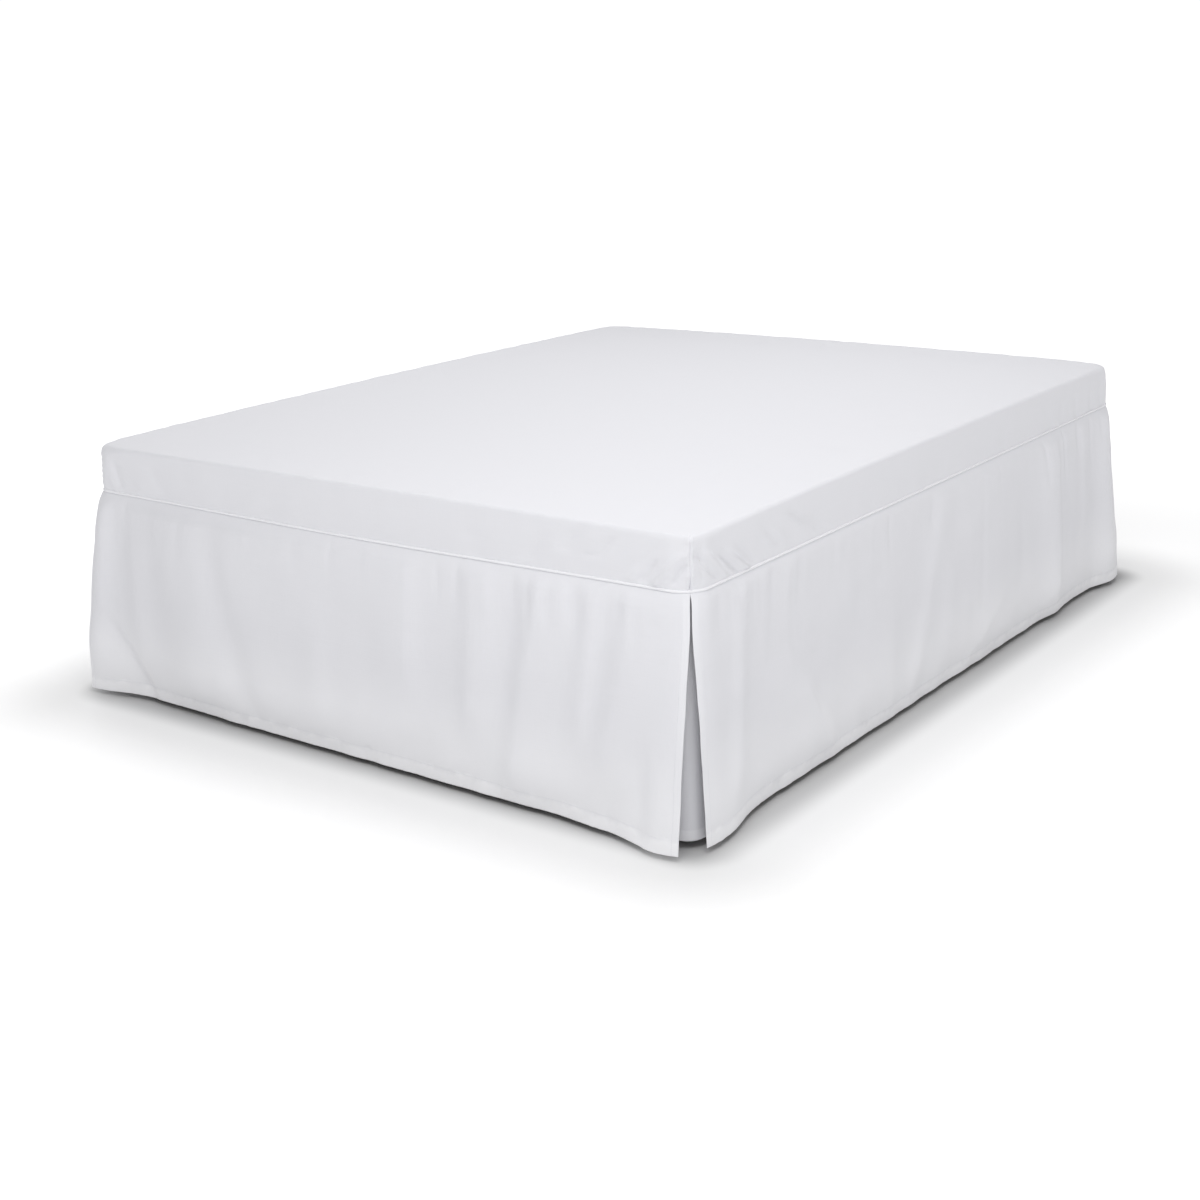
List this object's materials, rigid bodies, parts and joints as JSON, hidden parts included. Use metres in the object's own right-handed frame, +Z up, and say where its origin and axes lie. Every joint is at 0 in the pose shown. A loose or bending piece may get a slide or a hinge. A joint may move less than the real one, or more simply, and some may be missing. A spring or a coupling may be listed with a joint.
{
  "type": "bed skirt on a bed base",
  "caption": "White fitted bed skirt over a box bed base: a platform top with short drops, piping at the seam and floor-length panels split at the corners.",
  "frame": {"origin": "on the floor, below the middle of the bed base", "axes": "+Z up, +Y along the bed's length, from its foot end at -Y to its head end, +X to the right when seen from the foot end"},
  "size_m": [1.6998, 2.1744, 0.578],
  "materials": {
    "platform_cotton": "plain woven cotton, matt, cool white",
    "piping_cotton": "cord covered with the same white cotton",
    "skirt_cotton": "plain woven cotton, matt, cool white, hemmed",
    "underlay_cotton": "the same white cotton, in shade",
    "base_ticking": "plain woven ticking over a padded box",
    "foot_beech": "turned beech, satin"
  },
  "bodies": {
    "root": {"platform_cloth": "platform_cotton", "piping": "piping_cotton", "skirt_front": "skirt_cotton", "skirt_right": "skirt_cotton", "skirt_back": "skirt_cotton", "skirt_left": "skirt_cotton", "underlay_front_right": "underlay_cotton", "underlay_back_right": "underlay_cotton", "underlay_back_left": "underlay_cotton", "underlay_front_left": "underlay_cotton", "bed_base": "base_ticking", "foot_front_left": "foot_beech", "foot_front_right": "foot_beech", "foot_back_left": "foot_beech", "foot_back_right": "foot_beech"}
  },
  "joints": []
}
